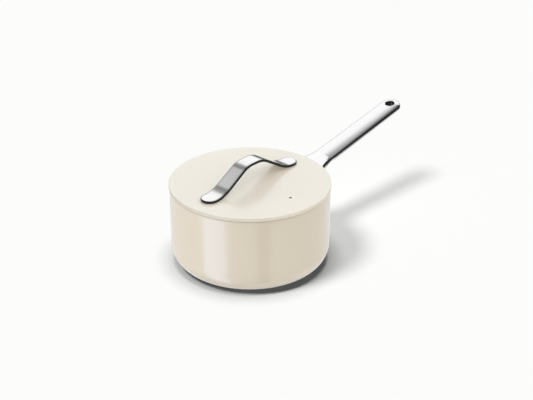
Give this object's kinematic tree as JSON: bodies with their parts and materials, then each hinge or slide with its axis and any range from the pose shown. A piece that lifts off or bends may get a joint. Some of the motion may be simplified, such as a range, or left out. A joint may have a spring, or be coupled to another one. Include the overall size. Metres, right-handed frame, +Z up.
{
  "type": "saucepan with lid",
  "caption": "Round cream-coated saucepan with a long hollow steel handle and a lift-off metal lid carrying a bent steel strap handle and a steam vent.",
  "frame": {"origin": "centre of the base, on the surface that the pan stands on", "axes": "+Z up, +X along the long handle as seen from above, +Y to the left of it"},
  "size_m": [0.3995, 0.2032, 0.1371],
  "materials": {
    "pan_coating": "semi-gloss cream ceramic coating on aluminium",
    "lid_coating": "satin cream ceramic coating on aluminium",
    "disc_steel": "spun stainless steel",
    "polished_steel": "polished stainless steel",
    "satin_steel": "fine satin stainless steel",
    "rivet_steel": "smooth stainless steel"
  },
  "bodies": {
    "pan": {"pan_body": "pan_coating", "base_plate": "disc_steel", "handle_bracket": "polished_steel", "long_handle": "polished_steel", "handle_rivets": "rivet_steel"},
    "lid": {"lid_panel": "lid_coating", "lid_handle": "satin_steel", "lid_handle_rivets": "rivet_steel"}
  },
  "joints": [
    {"name": "lid_lift", "type": "slide", "parent": "pan", "child": "lid", "axis": [0, 0, 1], "range_m": [0, 0.06]}
  ]
}
